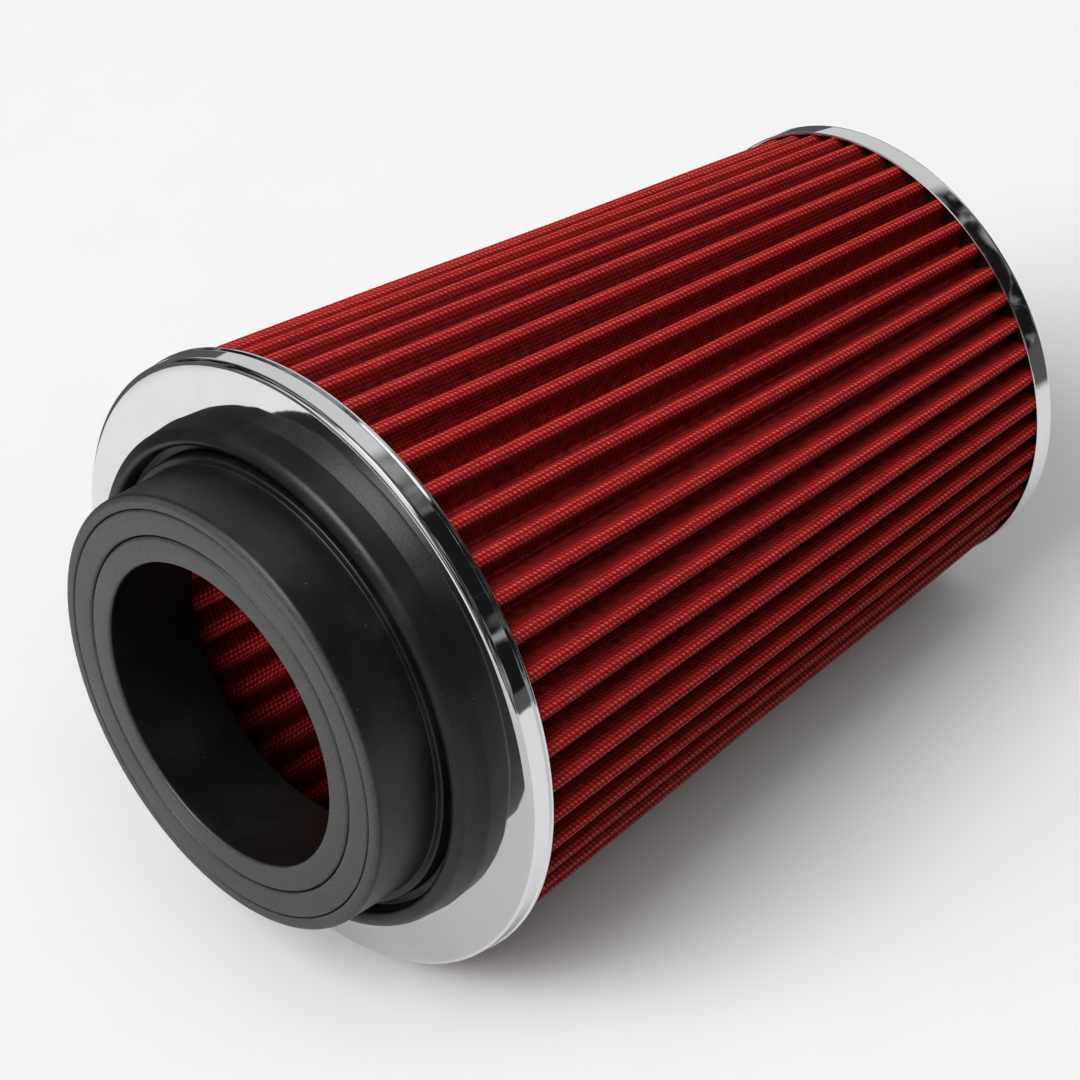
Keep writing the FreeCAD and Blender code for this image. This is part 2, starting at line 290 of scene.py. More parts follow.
def rubber(name, base, bloom, rough, face=(0.066, 0.067, 0.064, 1.0), dust=0.3, seed=0.0, cloudy=0.40):
    """Moulded black rubber: faint grain, dusty bloom and a few light specks."""
    t = Tree(name)
    shift = t.nt.nodes.new("ShaderNodeMapping")
    shift.inputs["Location"].default_value = (seed, seed * 0.7, -seed)
    t.nt.links.new(t.coords(), shift.inputs["Vector"])
    vec = shift.outputs[0]
    broad = t.noise(42.0, 4.0, 0.6, vec)
    fine = t.noise(900.0, 3.0, 0.6, vec)
    grain = t.noise(1700.0, 2.0, 0.6, vec)
    haze = t.math("MULTIPLY", t.remap(broad, 0.38, 0.72, 0.0, 1.0, True),
                  t.remap(fine, 0.3, 0.7, 0.55, 1.0))
    colour = t.mix(haze, base, bloom)
    # a cloudy bloom, wiped off in places
    cloud = t.noise(48.0, 5.0, 0.62, vec)
    colour = t.mix(t.remap(cloud, 0.46, 0.70, 0.0, cloudy, True), colour, (0.026, 0.027, 0.0265, 1.0))
    # dust: small round specks in about one cell in six
    near = t.cells(430.0, "Distance", vec)
    pick = t.nt.nodes.new("ShaderNodeSeparateColor")
    t.nt.links.new(t.cells(430.0, "Color", vec), pick.inputs[0])
    speck = t.math("MULTIPLY", t.remap(near, 0.06, 0.11, 1.0, 0.0, True),
                   t.remap(pick.outputs[0], 0.90, 0.94, 0.0, dust, True))
    colour = t.mix(speck, colour, lin(130, 130, 128))
    # the trimmed front face is greyer than the moulded skin; part of this lighter tone is painted sheen, standing in
    # for the light the front face catches
    place_ = t.nt.nodes.new("ShaderNodeSeparateXYZ")
    t.nt.links.new(t.coords(), place_.inputs[0])
    cut = t.math("MULTIPLY", t.remap(place_.outputs[1], 0.0002, 0.0011, 1.0, 0.0, True),
                 t.remap(grain, 0.36, 0.64, 0.50, 1.0))
    colour = t.mix(cut, colour, face)
    t.set(Base_Color=colour, Roughness=t.remap(broad, 0.3, 0.75, rough - 0.05, rough + 0.09))
    t.bsdf.inputs["Specular IOR Level"].default_value = 0.40
    n1 = t.bump(broad, 0.0006, 0.25)
    t.set(Normal=t.bump(t.math("ADD", t.math("MULTIPLY", grain, 0.8), fine), 0.00006, 0.6, n1))
    return t.mat


def chrome(name, tint=(0.760, 0.770, 0.780, 1.0), wave=0.5, seed=0.0):
    """Bright plated sheet: slightly wavy, with faint handling smears."""
    t = Tree(name)
    shift = t.nt.nodes.new("ShaderNodeMapping")
    shift.inputs["Location"].default_value = (seed, seed * 1.3, seed * 0.4)
    t.nt.links.new(t.coords(), shift.inputs["Vector"])
    vec = shift.outputs[0]
    waves = t.noise(26.0, 2.0, 0.45, vec, 0.4)
    ripple = t.noise(150.0, 2.0, 0.5, vec)
    smear = t.noise(70.0, 5.0, 0.65, vec, 1.2)
    t.set(Base_Color=t.mix(t.remap(smear, 0.35, 0.8, 0.0, 0.22, True), tint, (0.60, 0.61, 0.62, 1.0)),
          Roughness=t.remap(smear, 0.3, 0.8, 0.035, 0.085, True))
    t.bsdf.inputs["Metallic"].default_value = 1.0
    n1 = t.bump(waves, 0.0012, wave)
    t.set(Normal=t.bump(ripple, 0.00006, 0.25, n1))
    return t.mat


def mesh_screen(name, bright, wire, hole, painted_fold_shade=0.85, pitch_u=1.22, pitch_v=0.651):
    """Woven wire screen over gauze.  The Weave map is in millimetres: u runs
    round the fold and v along it."""
    t = Tree(name)
    uv = t.nt.nodes.new("ShaderNodeUVMap")
    uv.uv_map = "Weave"
    # slow drift of the wires, so that the weave isn't ruled
    drift = t.noise(160.0, 2.0, 0.5)
    sep = t.nt.nodes.new("ShaderNodeSeparateXYZ")
    t.nt.links.new(uv.outputs[0], sep.inputs[0])
    u = t.math("ADD", t.math("DIVIDE", sep.outputs[0], pitch_u), t.math("MULTIPLY", drift, 0.40))
    v = t.math("ADD", t.math("DIVIDE", sep.outputs[1], pitch_v), t.math("MULTIPLY", drift, 0.40))

    def wires(x, wide):
        """(round wire profile 0..1, index of the nearest wire)"""
        index = t.math("ROUND", x)
        off = t.math("ABSOLUTE", t.math("SUBTRACT", x, index))
        k = t.math("DIVIDE", off, wide)
        h = t.math("SQRT", t.math("MAXIMUM", t.math("SUBTRACT", 1.0, t.math("MULTIPLY", k, k)), 0.0))
        return h, index

    hu, iu = wires(u, 0.47)
    hv, iv = wires(v, 0.44)
    # plain weave: each wire rises over one neighbour and dips under the next
    lean = t.math("ADD", v, t.math("MULTIPLY", t.math("SUBTRACT", u, iu), 1.1))
    su = t.math("COSINE", t.math("MULTIPLY", t.math("ADD", lean, iu), math.pi))
    sv = t.math("COSINE", t.math("MULTIPLY", t.math("ADD", t.math("ADD", u, iv), 1.0), math.pi))
    zu = t.math("MULTIPLY", hu, t.math("MULTIPLY_ADD", su, 0.28, 0.68))
    zv = t.math("MULTIPLY", hv, t.math("MULTIPLY_ADD", sv, 0.12, 0.50))
    height = t.math("MAXIMUM", zu, zv)
    # the cotton behind the screen
    cotton_u = t.math("SINE", t.math("MULTIPLY", u, 2 * math.pi * 1.6))
    cotton_v = t.math("SINE", t.math("MULTIPLY", v, 2 * math.pi * 1.8))
    cotton = t.math("MULTIPLY", cotton_u, cotton_v)
    cotton = t.math("MULTIPLY_ADD", cotton, 0.04, 0.06)
    total = t.math("MAXIMUM", height, cotton)
    covered = t.remap(height, 0.34, 0.80, 0.0, 1.0, True)
    patch = t.noise(55.0, 4.0, 0.6)
    soot = t.noise(420.0, 3.0, 0.6)
    uneven = t.noise(750.0, 2.0, 0.6)
    # painted highlight: the raised knuckles get a lighter pink colour that stands in for the glints they catch
    painted_knuckle_highlight = t.math("MULTIPLY", t.remap(zu, 0.58, 0.94, 0.0, 1.0, True), t.remap(uneven, 0.35, 0.65, 0.30, 1.0))
    dark = t.mix(t.remap(soot, 0.35, 0.7, 0.0, 1.0), hole, tuple(c * 0.6 for c in hole[:3]) + (1.0,))
    body = t.mix(t.remap(patch, 0.3, 0.75, 0.0, 1.0, True), wire, tuple(c * 0.78 for c in wire[:3]) + (1.0,))
    colour = t.mix(covered, dark, body)
    # oil gathers in patches and tints the coating towards brown
    oil = t.noise(230.0, 3.0, 0.6)
    colour = t.mix(t.remap(oil, 0.52, 0.75, 0.0, 0.40, True), colour, lin(150, 40, 14))
    # the painted knuckle highlight is strongest on the crest and fades down the flanks, where less light falls;
    # without painted fold shade it stays even
    away = t.math("ABSOLUTE", sep.outputs[0])
    painted_highlight_fade = t.remap(away, 0.8, 3.2, 0.66, 0.10, True) if painted_fold_shade else 0.5
    colour = t.mix(t.math("MULTIPLY", painted_knuckle_highlight, painted_highlight_fade), colour, bright)
    # painted shade: from the crest down the flanks the fabric is painted darker, and the weave's gaps there near
    # black, where less light falls; the valley floors are painted a redder, lighter tone, painted light that stands
    # in for light reaching them; random soot patches darken it too
    if painted_fold_shade:
        painted_shoulder_shade = t.remap(away, 0.7, 3.3, 0.0, 0.50, True)
        colour = t.mix(painted_shoulder_shade, colour, (0.03, 0.001, 0.001, 1.0))
        flank = t.remap(away, 2.9, 5.4, 0.0, 1.0, True)
        painted_valley_tone = t.mix(t.remap(away, 5.2, 8.6, 0.0, 1.0, True), (0.25, 0.0125, 0.0130, 1.0), (0.52, 0.025, 0.028, 1.0))
        threads = t.remap(height, 0.25, 0.80, 0.0, 1.0, True)
        painted_valley_tone = t.mix(threads, t.mix(0.68, painted_valley_tone, (0.004, 0.001, 0.001, 1.0)), painted_valley_tone)
        painted_valley_tone = t.mix(t.remap(soot, 0.42, 0.62, 0.0, 0.55, True), painted_valley_tone, (0.020, 0.004, 0.004, 1.0))
        colour = t.mix(t.math("MULTIPLY", flank, painted_fold_shade), colour, painted_valley_tone)
    t.set(Base_Color=colour, Roughness=t.remap(height, 0.2, 1.0, 0.85, 0.46))
    t.bsdf.inputs["Specular IOR Level"].default_value = 0.18
    t.set(Normal=t.bump(total, 0.00018, 0.8))
    return t.mat


def gauze(name, colour):
    """Oiled cotton gauze, 0.5 mm weave."""
    t = Tree(name)
    uv = t.nt.nodes.new("ShaderNodeUVMap")
    uv.uv_map = "Weave"
    sep = t.nt.nodes.new("ShaderNodeSeparateXYZ")
    t.nt.links.new(uv.outputs[0], sep.inputs[0])
    a = t.math("SINE", t.math("MULTIPLY", sep.outputs[0], 2 * math.pi / 0.5))
    b = t.math("SINE", t.math("MULTIPLY", sep.outputs[1], 2 * math.pi / 0.5))
    w = t.math("MAXIMUM", a, b)
    stain = t.noise(60.0, 4.0, 0.6)
    t.set(Base_Color=t.mix(t.remap(stain, 0.3, 0.7, 0.0, 1.0, True), colour,
                           tuple(c * 0.6 for c in colour[:3]) + (1.0,)),
          Roughness=t.remap(w, -1.0, 1.0, 0.9, 0.6), Normal=t.bump(w, 0.0001, 0.7))
    return t.mat


def cast(name, colour):
    """Cast polyurethane: soft sheen, tiny pits."""
    t = Tree(name)
    pits = t.cells(520.0)
    pool = t.noise(120.0, 3.0, 0.5)
    t.set(Base_Color=t.mix(t.remap(pool, 0.3, 0.7, 0.0, 1.0), colour, tuple(c * 1.7 for c in colour[:3]) + (1.0,)),
          Roughness=t.remap(pool, 0.3, 0.7, 0.38, 0.55))
    n1 = t.bump(pool, 0.0004, 0.5)
    t.set(Normal=t.bump(t.remap(pits, 0.0, 0.25, 0.0, 1.0, True), 0.00012, 0.5, n1))
    return t.mat


def zinc(name):
    t = Tree(name)
    stretch = t.nt.nodes.new("ShaderNodeMapping")
    stretch.inputs["Scale"].default_value = (1.0, 0.06, 1.0)
    t.nt.links.new(t.coords(), stretch.inputs["Vector"])
    brush = t.noise(2200.0, 4.0, 0.6, stretch.outputs[0])
    spangle = t.cells(160.0, "Distance")
    t.set(Base_Color=t.mix(spangle, (0.52, 0.53, 0.54, 1.0), (0.66, 0.67, 0.68, 1.0)),
          Roughness=t.remap(brush, 0.2, 0.8, 0.25, 0.45), Normal=t.bump(brush, 0.00003, 0.4))
    t.bsdf.inputs["Metallic"].default_value = 1.0
    return t.mat


M_BOOT = rubber("neck_rubber_boot", (0.0058, 0.0058, 0.0059, 1.0), (0.0115, 0.0117, 0.0118, 1.0), 0.39)
# the rings' rubber is painted darker than the boot's, with less bloom: painted shade for the inside of the bore
M_RING_A = rubber("neck_rubber_ring_a", (0.003, 0.003, 0.003, 1.0), (0.007, 0.007, 0.007, 1.0), 0.36, seed=3.1, cloudy=0.10)
M_RING_B = rubber("neck_rubber_ring_b", (0.003, 0.003, 0.003, 1.0), (0.0065, 0.0066, 0.0066, 1.0), 0.36, seed=7.7, cloudy=0.06)
M_PLATE = chrome("chrome_base")
M_CAP = chrome("chrome_cap", seed=2.3)
# the second colour of each screen is its painted knuckle highlight; the outer screen also gets painted shade down
# its folds
M_SCREEN = mesh_screen("red_wire_screen", lin(220, 104, 98), lin(180, 28, 27), lin(118, 9, 11), painted_fold_shade=0.88)
M_INNER = mesh_screen("red_wire_screen_inside", lin(212, 106, 104), lin(166, 34, 40), lin(92, 8, 16), painted_fold_shade=0.0)
M_GAUZE = gauze("red_gauze", lin(150, 14, 24))
M_POT = cast("potting_black", (0.0055, 0.0052, 0.0055, 1.0))
M_ZINC = zinc("zinc_strip")

# --------------------------------------------------------------- neck pieces
boot = lathe("neck_moulding", [
    (51.0, 0.0, 0.6), (54.4, 0.0, 1.9), (54.4, 17.3, 0.35), (56.2, 17.3, 0.5),
    (56.2, 21.5, 0.5), (58.6, 21.5, 0.5), (58.6, 16.1, 1.5), (62.7, 17.9, 2.4),
    (63.4, 25.0, 0.0), (57.4, 25.0, 0.0), (57.4, 25.8, 0.0), (66.0, 25.8, 0.0),
    (66.0, 29.6, 0.6), (48.4, 29.6, 0.6), (48.4, 27.2, 0.3), (51.0, 27.2, 0.3),
], segments=320, step=9.0)
place(boot, "housing", "neck_boot", "neck_rubber", M_BOOT)

ring_a = lathe("reducer_outer_moulding", [
    (44.5, 0.0, 0.85), (50.8, 0.0, 0.5), (50.8, 27.0, 0.5), (42.4, 27.0, 0.5),
    (42.4, 25.2, 0.3), (44.5, 25.2, 0.3),
], segments=288, step=12.0)
place(ring_a, "outer_ring", "reducer_ring_outer", "neck_rubber", M_RING_A)

ring_b = lathe("reducer_inner_moulding", [
    (38.0, 0.0, 0.7), (44.3, 0.0, 0.85), (44.3, 25.0, 0.5), (38.0, 25.0, 0.6),
], segments=288, step=12.0)
place(ring_b, "inner_ring", "reducer_ring_inner", "neck_rubber", M_RING_B)

# ------------------------------------------------------------- pressed metal
plate = lathe("base_pan", [
    (57.4, 25.0, 0.0), (76.5, 25.0, 1.5), (76.5, 30.1, 0.5), (76.85, 30.75, 0.33),
    (76.85, 31.4, 0.33), (75.7, 31.4, 0.2), (75.7, 25.8, 0.6), (57.4, 25.8, 0.0),
], segments=384, step=6.0, longest=4.0)
place(plate, "housing", "base_plate", "chrome_plate", M_PLATE)

cap = lathe("cap_pan", [
    (0.0, 218.8, 0.0), (46.0, 218.8, 1.6), (47.2, 220.0, 1.6), (58.3, 220.0, 1.5),
    (58.3, 214.0, 0.3), (57.6, 214.0, 0.2), (57.6, 219.3, 0.6), (47.2, 219.3, 0.6),
    (46.0, 218.1, 0.6), (0.0, 218.1, 0.0),
], segments=320, closed=False, step=8.0, longest=4.0)
place(cap, "housing", "end_cap", "chrome_plate", M_CAP)

# ------------------------------------------------------------- potting rings
pot_a = lathe("base_potting_cast", [
    (66.0, 25.8, 0.0), (75.2, 25.8, 0.0), (75.7, 26.3, 0.0), (75.7, 29.9, 0.3),
    (75.2, 29.7, 0.3), (66.0, 29.6, 0.3),
], segments=256)
place(pot_a, "housing", "base_potting", "potting", M_POT)

pot_b = lathe("cap_potting_cast", [
    (42.0, 216.2, 0.6), (57.6, 216.2, 0.0), (57.6, 218.8, 0.0), (57.1, 219.3, 0.0),
    (47.2, 219.3, 0.0), (46.0, 218.1, 0.0), (42.0, 218.1, 0.0),
], segments=224)
place(pot_b, "housing", "cap_potting", "potting", M_POT)


# ------------------------------------------------------------- pleated sheets
def fold_line(arc_steps=6, flank_steps=8):
    """The folded middle surface in the plate_back plane, pleat by pleat from
    root centre to root centre: position, outward normal, distance from the
    crest along the fold, and height from 0 at the root to 1 at the crest."""
    crest = CREST_BASE - HALF_PACK
    root = crest - PLEAT_DEPTH
    step = 2 * math.pi / PLEATS

    def corner(centre, radius, side):
        half = CREST_HALF if radius == crest else ROOT_HALF
        return np.array((radius * math.sin(centre) + side * half * math.cos(centre),
                         radius * math.cos(centre) - side * half * math.sin(centre)))

    pos, nrm, dist, high, owner = [], [], [], [], []
    for i in range(PLEATS):
        c = PHASE + i * step
        pts = [corner(c - step / 2, root, 0.0), corner(c - step / 2, root, 1.0),
               corner(c, crest, -1.0), corner(c, crest, 1.0),
               corner(c + step / 2, root, -1.0), corner(c + step / 2, root, 0.0)]
        line, normals = [], []

        def normal(d):
            return np.array((-d[1], d[0]))

        def unit(a):
            return a / np.linalg.norm(a)

        line.append(pts[0])
        normals.append(normal(unit(pts[1] - pts[0])))
        for k in (1, 2, 3, 4):
            u = unit(pts[k] - pts[k - 1])
            v = unit(pts[k + 1] - pts[k])
            turn = math.acos(max(-1.0, min(1.0, float(u @ v))))
            cut = 0.97 * (CREST_HALF if k in (2, 3) else ROOT_HALF)
            rad = cut / math.tan(turn / 2)
            side = 1.0 if u[0] * v[1] - u[1] * v[0] > 0 else -1.0
            start = pts[k] - u * cut
            centre = start + side * rad * np.array((-u[1], u[0]))
            if k in (2, 4):  # the flank before this corner
                a = line[-1]
                for s in range(1, flank_steps):
                    line.append(a + (start - a) * s / flank_steps)
                    normals.append(normal(u))
            a0 = math.atan2(*(start - centre)[::-1])
            for s in range(arc_steps + 1):
                a = a0 + side * turn * s / arc_steps
                p = centre + rad * np.array((math.cos(a), math.sin(a)))
                line.append(p)
                normals.append(np.array((math.cos(a), math.sin(a))) * (-side))
        line.append(pts[5])
        normals.append(normal(unit(pts[5] - pts[4])))
        line = np.array(line)
        normals = np.array(normals)
        arc = np.concatenate([[0.0], np.cumsum(np.linalg.norm(np.diff(line, axis=0), axis=1))])
        arc -= arc[-1] / 2
        r = np.linalg.norm(line, axis=1)
        h = np.clip((r - root) / (crest - root), 0.0, 1.0)
        pos.append(line)
        nrm.append(normals)
        dist.append(arc)
        high.append(h)
        owner.append(np.full(len(line), i))
    return np.array(pos), np.array(nrm), np.array(dist), np.array(high)


RNG = np.random.default_rng(5)
SWAY = RNG.normal(0.0, 0.16, PLEATS)
SWAY_2 = RNG.normal(0.0, 0.09, PLEATS)
SWAY_PH = RNG.uniform(0, 2 * math.pi, PLEATS)
LIFT = RNG.normal(0.0, 0.10, PLEATS)
LIFT_PH = RNG.uniform(0, 2 * math.pi, PLEATS)
V_START = RNG.uniform(0.0, 1.3, PLEATS)


def shaped(line, high, y):
    """The fold line at y: scaled about the apex, with a slight twist and each
    crest's own small sway.  line is (pleats, samples, 2)."""
    k = (APEX - y) / (APEX - PLATE_BACK)
    p = line * k
    r = np.linalg.norm(p, axis=2)
    a = np.arctan2(p[..., 0], p[..., 1])
    f = (y - PACK_LOW) / (PACK_HIGH - PACK_LOW)
    w = high ** 2
    sway = (SWAY * math.sin(math.pi * f) + SWAY_2 * np.sin(2 * math.pi * 1.6 * f + SWAY_PH) * math.sin(math.pi * f) ** 0.5)
    lift = LIFT * np.sin(2 * math.pi * 1.1 * f + LIFT_PH) * math.sin(math.pi * f)
    a = a + w * sway[:, None] / r - math.radians(0.004 * (y - 125.0))
    r = r + w * lift[:, None]
    return np.stack([-r * np.sin(a), np.full_like(r, y), r * np.cos(a)], axis=2)


def sheet(name, outer_d, inner_d, rows_out, rows_in, arc_steps, flank_steps):
    """Closed folded sheet between two offsets of the middle surface."""
    pos, nrm, dist, high = fold_line(arc_steps, flank_steps)
    m = pos.shape[1]
    ring = PLEATS * (m - 1)

    def along(d):
        line = pos + nrm * d
        arc = np.concatenate([np.zeros((PLEATS, 1)),
                              np.cumsum(np.linalg.norm(np.diff(line, axis=1), axis=2), axis=1)], axis=1)
        return arc - arc[:, -1:] / 2

    def surface(d, rows):
        line = pos + nrm * d
        levels = np.linspace(PACK_LOW, PACK_HIGH, rows)
        grid = np.array([shaped(line, high, y)[:, :-1].reshape(-1, 3) for y in levels])
        return levels, grid

    verts, quads, uvs = [], [], []
    base = 0
    index = np.arange(ring)
    pleat = index // (m - 1)
    local = index % (m - 1)
    nxt = (index + 1) % ring
    ends = []
    for d, rows, flip in ((outer_d, rows_out, False), (inner_d, rows_in, True)):
        levels, grid = surface(d, rows)
        verts.append(grid.reshape(-1, 3))
        arc = along(d)
        u_a, u_b = arc[pleat, local], arc[pleat, local + 1]
        for j in range(rows - 1):
            a = base + j * ring + index
            b = base + j * ring + nxt
            c = base + (j + 1) * ring + nxt
            e = base + (j + 1) * ring + index
            k0 = (APEX - levels[j]) / (APEX - PLATE_BACK)
            k1 = (APEX - levels[j + 1]) / (APEX - PLATE_BACK)
            v0 = levels[j] + V_START[pleat]
            v1 = levels[j + 1] + V_START[pleat]
            q = np.stack([a, b, c, e], axis=1)
            t = np.stack([np.stack([u_a * k0, v0], 1), np.stack([u_b * k0, v0], 1),
                          np.stack([u_b * k1, v1], 1), np.stack([u_a * k1, v1], 1)], axis=1)
            if flip:
                q, t = q[:, ::-1], t[:, ::-1]
            quads.append(q)
            uvs.append(t)
        ends.append((base, base + (rows - 1) * ring))
        base += rows * ring
    for which, flip in ((0, True), (1, False)):
        o, n = ends[0][which], ends[1][which]
        q = np.stack([o + index, o + nxt, n + nxt, n + index], axis=1)
        t = np.stack([np.stack([u_a, u_a * 0], 1), np.stack([u_b, u_b * 0], 1),
                      np.stack([u_b, u_b * 0 + 0.3], 1), np.stack([u_a, u_a * 0 + 0.3], 1)], axis=1)
        if flip:
            q, t = q[:, ::-1], t[:, ::-1]
        quads.append(q)
        uvs.append(t)
    verts = np.concatenate(verts)
    quads = np.concatenate(quads)
    uvs = np.concatenate(uvs)
    if volume(verts, quads, np.zeros((0, 3), int)) < 0:
        quads, uvs = quads[:, ::-1], uvs[:, ::-1]
    return build(name, verts, quads, sharp=60.0, uv=uvs.reshape(-1, 2))


def fold_strip(name, d_in, d_out, rows=36):
    """Folded strip over one inner fold."""
    pos, nrm, dist, high = fold_line(6, 8)
    m = pos.shape[1]
    i = int(round(PLEATS * 0.75))
    j = (i + 1) % PLEATS
    cut = m // 2
    take = [(i, s) for s in range(cut + 7, m - 1)] + [(j, s) for s in range(0, m - cut - 7)]
    verts, quads = [], []
    levels = np.linspace(PACK_LOW + 0.4, PACK_HIGH - 0.4, rows)
    grids = []
    for d in (d_in, d_out):
        line = pos + nrm * d
        grids.append(np.array([[shaped(line, high, y)[a, s] for a, s in take] for y in levels]))
    n = len(take)
    loop = 2 * n
    for r in range(rows):
        verts.append(np.concatenate([grids[0][r], grids[1][r][::-1]]))
    verts = np.concatenate(verts)
    for r in range(rows - 1):
        for s in range(loop):
            t = (s + 1) % loop
            quads.append((r * loop + s, r * loop + t, (r + 1) * loop + t, (r + 1) * loop + s))
    for s in range(n - 1):
        quads.append((s, s + 1, loop - 2 - s, loop - 1 - s))
        o = (rows - 1) * loop
        quads.append((o + s + 1, o + s, o + loop - 1 - s, o + loop - 2 - s))
    quads = np.array(quads)
    v = volume(verts, quads, np.zeros((0, 3), int))
    if v < 0:
        quads = quads[:, ::-1]
    return build(name, verts, quads, sharp=40.0)


LEVELS = [0.86, 0.56, 0.28, 0.0, -0.28, -0.56, -0.86]
outer = sheet("outer_mesh_pleats", LEVELS[0], LEVELS[1], 40, 5, 6, 6)
place(outer, "housing", "outer_screen", "red_screen", M_SCREEN)
inner = sheet("inner_mesh_pleats", LEVELS[5], LEVELS[6], 5, 40, 6, 6)
place(inner, "housing", "inner_screen", "red_screen", M_INNER)
for n in range(4):
    ply = sheet("gauze_pleats_%d" % (n + 1), LEVELS[n + 1] - 0.02, LEVELS[n + 2] + 0.02, 14, 14, 3, 3)
    place(ply, "housing", "gauze_ply_%d" % (n + 1), "oiled_gauze", M_GAUZE)
clip = fold_strip("seam_strip", -0.91, -1.31)
place(clip, "housing", "media_seam_clip", "clip_steel", M_ZINC)

# --------------------------------------------------------------- the studio
BETA = math.atan((76.85 - 58.3) / (219.4 - 31.1))


def studio():
    # floor: touches the rims of the base pan and the cap
    size = 6.0
    n = 24
    xs = np.linspace(-size, size, n)
    verts = [(x, y, 0.0) for y in xs for x in xs]
    faces = [(r * n + c, r * n + c + 1, (r + 1) * n + c + 1, (r + 1) * n + c)
             for r in range(n - 1) for c in range(n - 1)]
    me = bpy.data.meshes.new("floor")
    me.from_pydata(verts, [], faces)
    floor = bpy.data.objects.new("floor", me)
    scene.collection.objects.link(floor)
    # plane through (y=31.1, z=-76.85) and (y=219.4, z=-58.3), 0.1 mm lower
    slope = math.tan(BETA)
    z0 = (-76.85 - 31.1 * slope - 0.1) * MM
    floor.matrix_world = Matrix.Translation((0, 0, z0)) @ Matrix.Rotation(BETA, 4, "X")
    t = Tree("floor_paper")
    grain = t.noise(30.0, 4.0, 0.6)
    t.set(Base_Color=t.mix(t.remap(grain, 0.3, 0.7, 0.0, 1.0), (0.86, 0.86, 0.86, 1.0), (0.875, 0.875, 0.875, 1.0)))
    t.bsdf.inputs["Roughness"].default_value = 0.9
    t.bsdf.inputs["Specular IOR Level"].default_value = 0.1
    paper = t.bsdf.inputs["Base Color"].links[0].from_socket
    place_ = t.nt.nodes.new("ShaderNodeSeparateXYZ")
    t.nt.links.new(t.coords(), place_.inputs[0])
    # painted reflection: for reflected rays the floor's colour is darkened to the left, near the neck and at the far
    # side, so metal and rubber mirror dark there
    painted_floor_dark = t.remap(place_.outputs[0], -0.22, -0.26, 0.0, 0.93, True)
    painted_near_dark = t.math("MULTIPLY", t.remap(place_.outputs[0], -0.12, -0.02, 0.0, 0.34, True),
                  t.remap(place_.outputs[1], 0.01, 0.03, 1.0, 0.15, True))
    painted_floor_dark = t.math("MAXIMUM", painted_floor_dark, painted_near_dark)
    painted_far_dark = t.remap(place_.outputs[1], 0.37, 0.41, 0.0, 0.93, True)
    painted_floor_dark = t.math("MAXIMUM", painted_floor_dark, painted_far_dark)
    seen = t.nt.nodes.new("ShaderNodeLightPath")
    # painted shade: on the shaded side of the object the floor's colour is darkened for diffuse rays, so little
    # light comes back up from it
    under = t.math("MULTIPLY", t.remap(place_.outputs[0], 0.0, 0.07, 0.0, 0.85, True),
                   t.remap(place_.outputs[1], 0.0, 0.05, 0.0, 1.0, True))
    under = t.math("MULTIPLY", under, seen.outputs["Is Diffuse Ray"])
    painted_floor_dark = t.math("MAXIMUM", t.math("MULTIPLY", painted_floor_dark, seen.outputs["Is Glossy Ray"]), under)
    t.set(Base_Color=t.mix(painted_floor_dark, paper, (0.03, 0.03, 0.03, 1.0)))
    me.materials.append(t.mat)

    def area(name, size, power, where, at=(0.0, 0.10, 0.0), colour=(1, 1, 1)):
        light = bpy.data.lights.new(name, "AREA")
        light.shape = "RECTANGLE"
        light.size, light.size_y = size
        light.energy = power
        light.color = colour
        ob = bpy.data.objects.new(name, light)
        ob.location = where
        aim = Vector(at) - Vector(where)
        ob.rotation_euler = aim.to_track_quat("-Z", "Y").to_euler()
        scene.collection.objects.link(ob)
        return ob

    def group(name, *names):
        out = bpy.data.collections.new(name)
        for ob in list(scene.collection.all_objects):
            if ob.type == "MESH" and ob.name.startswith(names):
                out.objects.link(ob)
        return out

    fabric = group("fabric", "outer_mesh", "gauze", "seam", "base_potting", "cap_potting")
    rubbers = group("rubbers", "neck_moulding", "reducer")
    lining = group("lining", "inner_mesh")
    ground = group("ground", "floor")

    # one large softbox overhead for the product; the floor has its own set,
    # so that a wide soft shadow falls behind and to the right
    key = Vector((-0.02, -0.44, 0.90)).normalized() * 8.0
    area("key_softbox", (5.2, 5.2), 640.0, key).light_linking.receiver_collection = fabric
    area("key_softbox_neck", (5.2, 5.2), 600.0, key).light_linking.receiver_collection = rubbers
    for k, (x, y, wide, power) in enumerate(((0.0, -1.0, 4.8, 425.0), (-0.6, -1.8, 5.4, 200.0), (0.4, -0.2, 10.0, 195.0))):
        low = Vector((x, y, 1.0)).normalized() * 8.0
        area("floor_softbox_%d" % k, (wide, wide), power, low).light_linking.receiver_collection = ground
    # a weaker lamp beside the camera, for the product only
    fill = Vector((0.30, -0.46, 0.80)).normalized() * 4.0
    for k, (who, power) in enumerate(((fabric, 45.0), (rubbers, 26.0))):
        lamp = area("front_softbox_%d" % k, (1.8, 1.8), power, fill)
        lamp.light_linking.receiver_collection = who
        lamp.visible_glossy = False
    # two small lamps in the mouth of the neck, for the lining
    for k, (wide, power, spot, at) in enumerate(((0.05, 0.17, (0.068, -0.058, -0.004), (-0.050, 0.05, 0.01)),
                                                 (0.07, 0.09, (0.030, -0.070, 0.050), (-0.052, 0.06, 0.0)))):
        mouth = area("mouth_softbox_%d" % k, (wide, wide), power, spot, at)
        mouth.light_linking.receiver_collection = lining
        mouth.visible_glossy = False

    # The room: pale to the camera, dim to the floor and the fabric; bright
    # metal and rubber mirror a pale wall behind on the left and a dark,
    # uneven room everywhere else.
    world = bpy.data.worlds.new("room")
    scene.world = world
    world.use_nodes = True
    nt = world.node_tree
    nt.nodes.clear()

